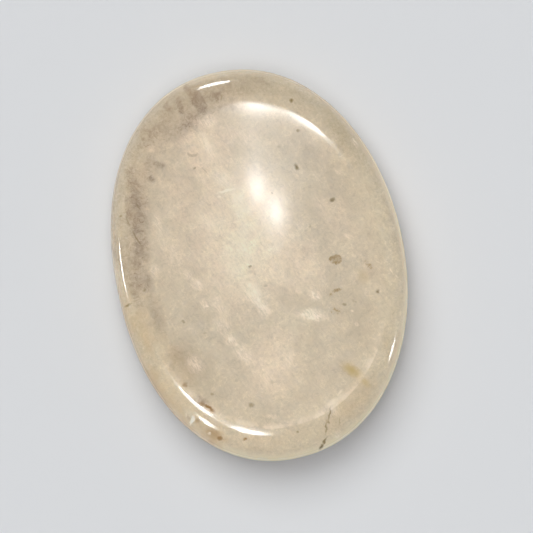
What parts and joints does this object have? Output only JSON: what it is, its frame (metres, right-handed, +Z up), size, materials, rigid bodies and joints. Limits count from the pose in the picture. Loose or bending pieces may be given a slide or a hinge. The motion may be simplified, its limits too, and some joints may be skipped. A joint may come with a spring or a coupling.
{
  "type": "palm stone",
  "caption": "Polished oval palm stone of cloudy quartz with a thumb dish in its top and a small flat spot underneath that it rests on.",
  "frame": {"origin": "middle of the stone's footprint, on the flat spot that it rests on", "axes": "+Z up, out of the thumb dish; +Y along the long axis; +X across the stone"},
  "size_m": [0.033, 0.045, 0.0075],
  "materials": {
    "cloudy_quartz": "polished"
  },
  "bodies": {
    "root": {"palm_stone": "cloudy_quartz"}
  },
  "joints": []
}
